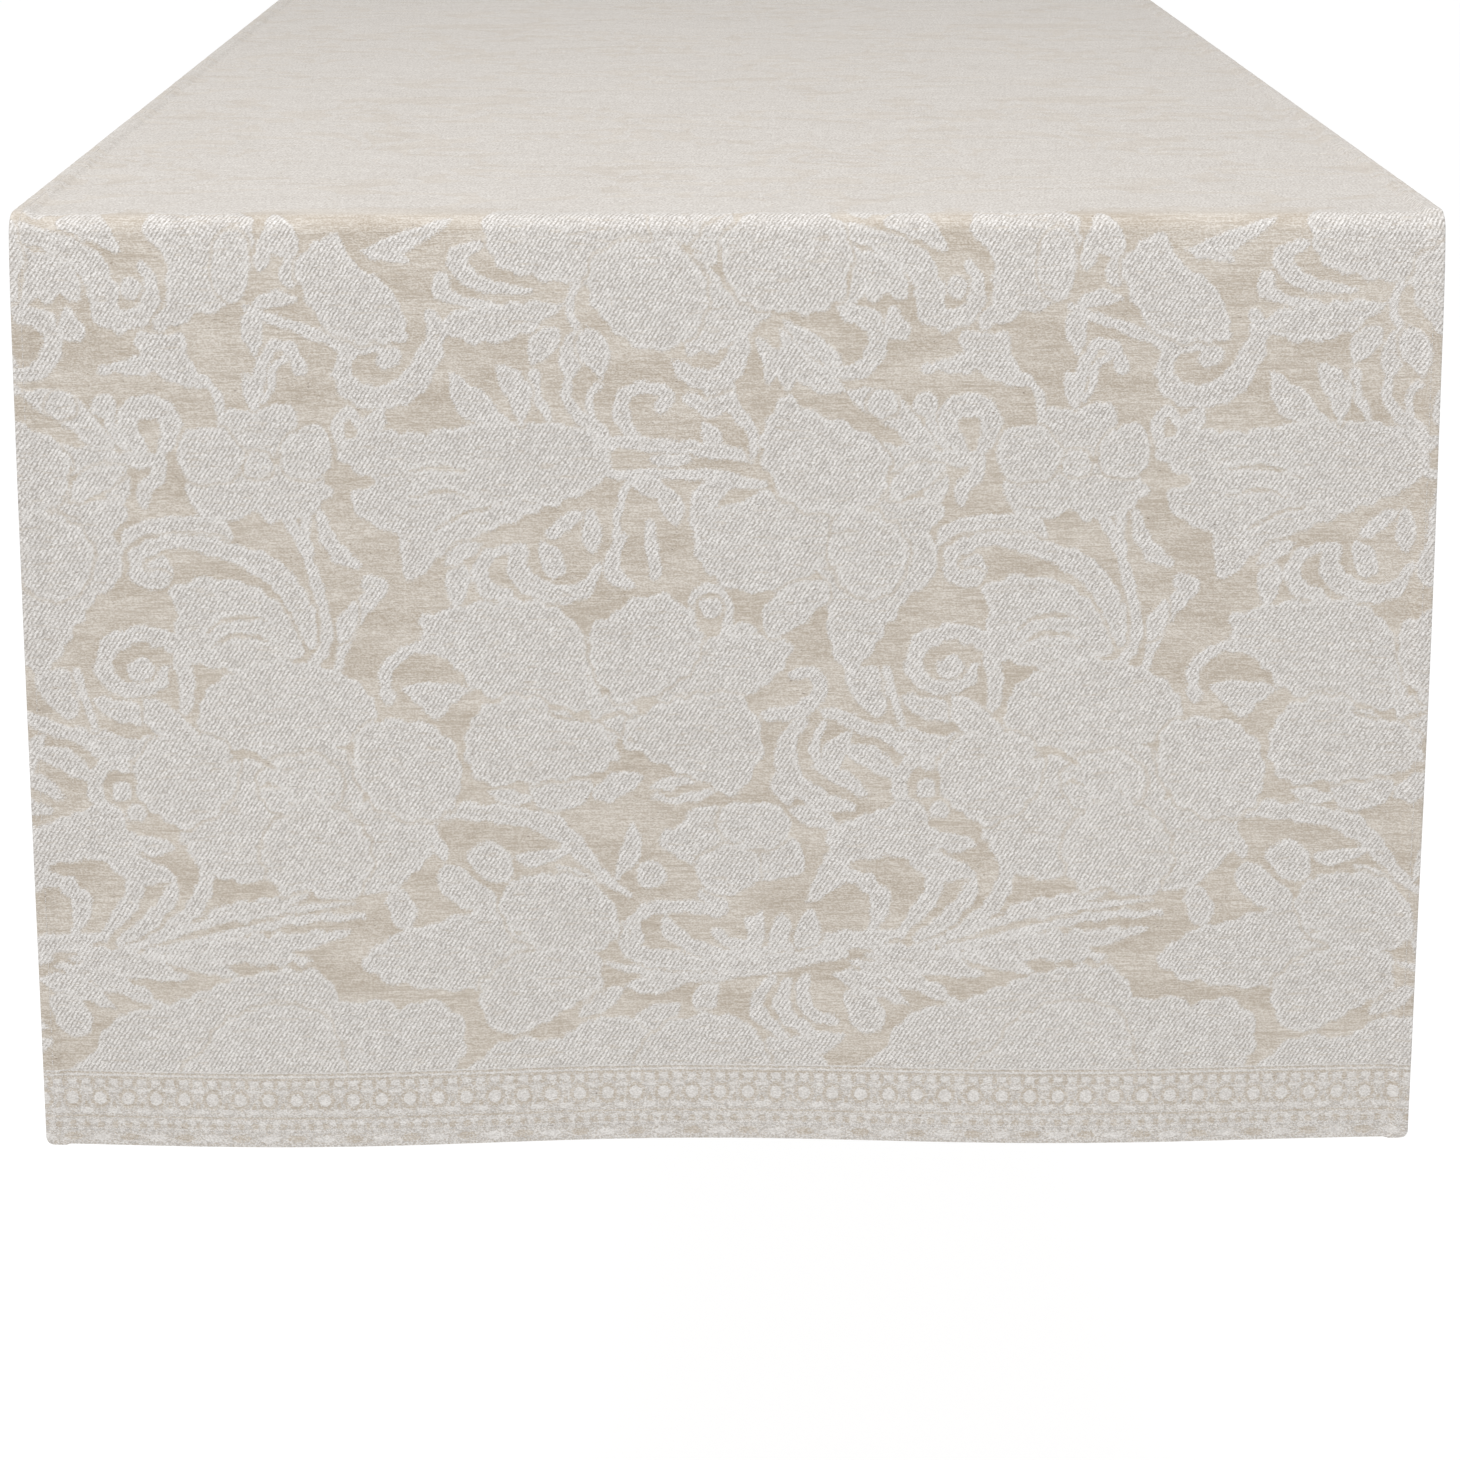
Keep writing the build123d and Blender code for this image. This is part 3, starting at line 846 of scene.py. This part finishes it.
def cloth_material(name, reverse):
    """Damask: a satin figure in off-white cotton on a flax-coloured ground with slubs.

    On the wrong side the same design shows fainter, with the colours changed over.
    """
    m = Nodes(name)
    x, y, e = m.flat()

    def patches(length, height, seed, detail, low, high):
        return m.step(m.noise(x, y, length, height, seed, detail), low, high)

    def outline(distance):
        """A satin line just inside an edge."""
        return m.times(m.step(distance, -0.4, 0.5), m.step(distance, 1.9, 1.2))

    # where the figure covers the ground
    back, front, veins = (m.attribute(key, "Fac") for key in LAYERS)
    ragged = m.scaled(m.noise(x, y, 0.8, 0.55, 3.1, 1.0), 2.6, -1.3)
    back, front, veins = (m.plus(d, ragged) for d in (back, front, veins))
    either = m.larger(front, back)
    figure = m.larger(m.step(front, -0.6, 0.6), m.step(back, -0.6, 0.6))
    field = m.step(e, BORDER - 0.4, BORDER + 0.2)
    # 1 on the drop, 0 under the painted sheen of the tabletop
    clear_of_painted_sheen = m.step(e, *PAINTED_SHEEN_FADE)
    inner = m.larger(outline(front), m.times(m.step(veins, -0.5, 0.5), 0.5))
    lines = m.larger(outline(either), m.times(inner, 0.8))
    beads = m.times(figure, patches(1.3, 1.1, 47.1, 1.0, 0.36, 0.52))
    # the satin outlines are left out under the painted sheen of the tabletop
    lines = m.times(m.times(lines, beads), m.times(field, clear_of_painted_sheen))
    border, bright = border_figure(m, m.scaled(ragged, 0.35, x), m.scaled(ragged, 0.3, e))
    lines = m.larger(lines, m.times(bright, m.blend(field, 0.7, 0.0)))
    border = m.step(m.plus(border, m.scaled(m.noise(x, y, 0.6, 0.5, 41.7, 1.0), 2.0, -1.0)), 0.2, 0.75)
    worn = m.times(patches(7.0, 1.3, 5.3, 2.0, 0.57, 0.72), m.step(either, 1.6, 3.6))
    parting = m.times(m.step(front, -1.9, -1.1), m.step(front, -0.1, -0.6))
    figure = m.times(figure, m.times(m.scaled(worn, -0.55, 1.0), m.scaled(parting, -0.6, 1.0)))
    figure = m.blend(field, border, figure)
    # painted sheen: on the tabletop the figure is faded and lifted towards the lighter figure colour,
    # standing in for the grazing sheen there
    figure = m.blend(clear_of_painted_sheen, m.scaled(figure, PAINTED_SHEEN_CONTRAST, PAINTED_SHEEN_COVER), figure)

    # the weave: twill lines lean across the figure, and slubs run along the yarns of the ground
    wander = m.times(m.noise(x, y, 2.4, 1.6, 7.7, 2.0), 6.0)
    wave = m.math("SINE", m.scaled(m.scaled(y, TWILL_LEAN, x), 2 * math.pi / TWILL, wander))
    twill = m.blend(field, 0.6, m.step(wave, -1.0, 0.2))
    grain = patches(0.75, 0.5, 11.3, 1.0, 0.40, 0.60)
    pits = patches(1.1, 0.75, 13.7, 1.0, 0.56, 0.68)
    yarns = patches(6.0, 0.45, 17.9, 2.0, 0.40, 0.60)
    slubs = patches(16.0, 0.8, 23.5, 3.0, 0.50, 0.70)
    clouds = m.times(patches(45.0, 12.0, 29.1, 3.0, 0.35, 0.65), m.scaled(field, 0.7, 0.3))
    mottle = patches(5.0, 2.6, 51.3, 3.0, 0.36, 0.64)
    fleck = m.times(patches(1.5, 0.7, 31.7, 1.0, 0.71, 0.77), patches(13.0, 9.0, 37.3, 1.0, 0.42, 0.62))

    ground = m.mix(m.scaled(grain, 0.6, m.times(yarns, 0.4)), GROUND_DARK, GROUND_LIGHT)
    ground = m.mix(0.26, ground, m.mix(clouds, GROUND_DARK, GROUND_LIGHT))
    ground = m.mix(m.times(slubs, 0.55), ground, GROUND_DARK)
    raised = m.mix(m.plus(m.times(twill, 0.55), m.times(grain, 0.45)), FIGURE_DARK, FIGURE)
    for marks, share, tone in ((slubs, 0.25, GROUND), (pits, 0.6, FIGURE_DARK), (mottle, 0.16, FIGURE_DARK),
                               (lines, 0.36, m.mix(grain, FIGURE, SATIN))):
        raised = m.mix(m.times(marks, share), raised, tone)
    shown = m.scaled(figure, -0.6, 0.75) if reverse else figure
    colour = m.mix(m.times(fleck, 0.6), m.mix(shown, ground, raised), FLECK)

    woven = m.blend(figure, m.times(grain, 0.7), m.plus(twill, m.times(grain, 0.5)))
    return m.finish(colour, m.scaled(lines, 0.6, woven), 0.13, m.blend(lines, 0.85, 0.65), 0.15)


def hem_material():
    """The turned-under cloth of a hem shows its wrong side, plainly woven."""
    m = Nodes("hem_cloth")
    x, y, _ = m.flat()
    grain = m.noise(x, y, 0.7, 0.45, 41.1, 3.0)
    yarns = m.noise(x, y, 5.0, 0.5, 43.3)
    tone = m.step(m.plus(m.times(grain, 0.5), m.times(yarns, 0.5)), 0.36, 0.64)
    return m.finish(m.mix(tone, GROUND, FIGURE), tone, 0.12, 0.85, 0.15)


def thread_material():
    """Matching sewing thread: two strands twisted together."""
    m = Nodes("sewing_thread")
    place = m.add("ShaderNodeTexCoord", {}, "Object")
    strands = m.add("ShaderNodeTexWave", {"Vector": place, "Scale": 900.0, "Distortion": 2.0}, "Fac",
                    bands_direction="DIAGONAL")
    return m.finish(m.mix(strands, FIGURE_DARK, FIGURE), strands, 0.04, 0.6, 0.1)


# ---- the pieces
face = cloth_material("damask_face", False)
wrong = cloth_material("damask_wrong_side", True)
hem = hem_material()
thread = thread_material()
STEP = 0.85             # spacing of the points of a drop, and across the cloth
TOP_STEP = 1.25
HEM_STEP = 4.0


def stations_between(start, end, step):
    return np.linspace(start, end, int(abs(end - start) / step) + 2)


def drop_stations(side):
    """Close together round the bend, then even down to the folded end."""
    bend = np.linspace(HALF_FLAT, HALF_FLAT + BEND, 15)
    down = stations_between(HALF_FLAT + BEND, END_TURN, STEP)[1:]
    return side * np.concatenate([bend, down])


def hem_loop(side, inner, outer, lift):
    """The section of a hem, in (place, n) from lift down: folded round on its inner edge."""
    r = HEM_STACK / 2
    angles = np.radians(range(-90, 91, 30))
    turn = [(inner + r - r * math.cos(a), lift - r + r * math.sin(a)) for a in angles]
    loop = turn + [(outer, lift - 0.02), (outer, lift - r), (outer, lift - HEM_STACK + 0.02)]
    return [(side * place, n) for place, n in loop]


def lengthwise_run(side, start, end, both):
    """Stitches along a side hem, on the face and, where it hangs free, on the back too."""
    count = int(abs(end - start) / STITCH_PITCH)
    x = side * (HALF_WIDTH - STITCH_IN)
    faces = [(HEM_STACK + CLOTH, True, 1)] + [(0.0, True, -1)] * both
    lengthwise = start + (end - start) * (np.arange(count) + 0.5) / count
    return [(x, s, *face) for s in lengthwise for face in faces]


def crosswise_run(side):
    """Stitches along an end hem, on the face and on the back."""
    half = HALF_WIDTH - 6.5
    count = int(2 * half / STITCH_PITCH)
    s = side * (END - END_STITCH_IN)
    across = -half + 2 * half * (np.arange(count) + 0.5) / count
    return [(x, s, *face) for x in across for face in ((CLOTH, False, 1), (-HEM_STACK, False, -1))]


def place_piece(piece, node, bend_side):
    """Hides the CAD part that the piece stands for, and lets it ride on the top; a drop piece only has its
    place baked in.
    """
    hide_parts(node)
    if bend_side is None:
        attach(piece, "top_span")
        return
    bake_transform(piece)


def add_sides(part, rows, start, end, bend_side):
    """The side hems of one part of the runner, with their rows of stitching."""
    made = []
    for word, side in (("left", -1), ("right", 1)):
        loop = hem_loop(side, HALF_WIDTH - SIDE_HEM, EDGE_TURN, HEM_STACK)
        strip = make_strip(f"{part}_{word}_hem_turned", loop, rows, False, hem)
        place_piece(strip, f"{part}_{word}_hem", bend_side)
        run = lengthwise_run(side, start, end, bend_side is not None)
        line = make_stitches(f"{part}_{word}_stitches", run, thread)
        place_piece(line, f"{part}_{word}_stitching", bend_side)
        made += [strip, line]
    return made


stations = stations_between(-HALF_FLAT, HALF_FLAT, TOP_STEP)
top = make_cloth("top_cloth_woven", stations, False, [face, wrong])
place_piece(top, "top_cloth", None)
rows = stations_between(-HALF_FLAT, HALF_FLAT, HEM_STEP)
extras = add_sides("top", rows, -HALF_FLAT, HALF_FLAT, None)

for end, way in (("front", -1), ("back", 1)):
    body = f"{end}_drop"
    stations = drop_stations(way)
    cloth = make_cloth(f"{body}_cloth_woven", stations, True, [face, wrong])
    place_piece(cloth, f"{body}_cloth", (body, way))
    rows = np.union1d(stations[::4], stations[-1:])[::way]
    extras = add_sides(end, rows, way * HALF_FLAT, way * (END - 3), (body, way))
    rows = stations_between(-HALF_WIDTH + SIDE_HEM, HALF_WIDTH - SIDE_HEM, HEM_STEP)
    loop = hem_loop(way, END - END_HEM, END_TURN, 0.0)
    strip = make_strip(f"{end}_end_hem_turned", loop, rows, True, hem)
    place_piece(strip, f"{end}_end_hem", (body, way))
    line = make_stitches(f"{end}_end_stitches", crosswise_run(way), thread)
    place_piece(line, f"{end}_end_stitching", (body, way))
    extras += [strip, line]


# ---- stage: a plain pale floor
bpy.ops.mesh.primitive_plane_add(size=24, location=(0, 0, -0.74))
floor = bpy.context.object
floor.name = "floor"
paint = Nodes("pale_floor")
paint.feed(paint.shader, {"Base Color": (0.25, 0.25, 0.25, 1), "Roughness": 0.9,
                          "Emission Color": (1, 1, 1, 1), "Emission Strength": 0.86})
floor.data.materials.append(paint.material)

# ---- light and camera
lamp = bpy.data.lights.new("key", "AREA")
lamp.shape, lamp.size, lamp.size_y, lamp.energy = "RECTANGLE", 1.6, 1.0, 81
softbox = new_object("key", lamp)
softbox.location = (-0.35, -1.42, 3.0)
aim = Vector((0, -0.45, -0.1)) - softbox.location
softbox.rotation_euler = aim.to_track_quat("-Z", "Y").to_euler()

world = bpy.data.worlds.new("studio")
bpy.context.scene.world = world
world.use_nodes = True
tree = world.node_tree
background = tree.nodes["Background"]
background.inputs["Color"].default_value = (1, 1, 1, 1)
seen = tree.nodes.new("ShaderNodeLightPath")
level = tree.nodes.new("ShaderNodeMapRange")
level.inputs["To Min"].default_value = 0.5      # what lights the cloth
level.inputs["To Max"].default_value = 1.0      # what shows behind it
tree.links.new(seen.outputs["Is Camera Ray"], level.inputs["Value"])
tree.links.new(level.outputs[0], background.inputs["Strength"])
bpy.context.scene.view_settings.view_transform = "Standard"

camera = new_object("camera", bpy.data.cameras.new("camera"))
bpy.context.scene.camera = camera
camera.data.lens = 88.4
camera.data.shift_y = -0.2
camera.location = (-0.012, -1.704, 0.186)
camera.rotation_euler = (math.radians(90 - 12.07), 0, math.radians(-0.58))
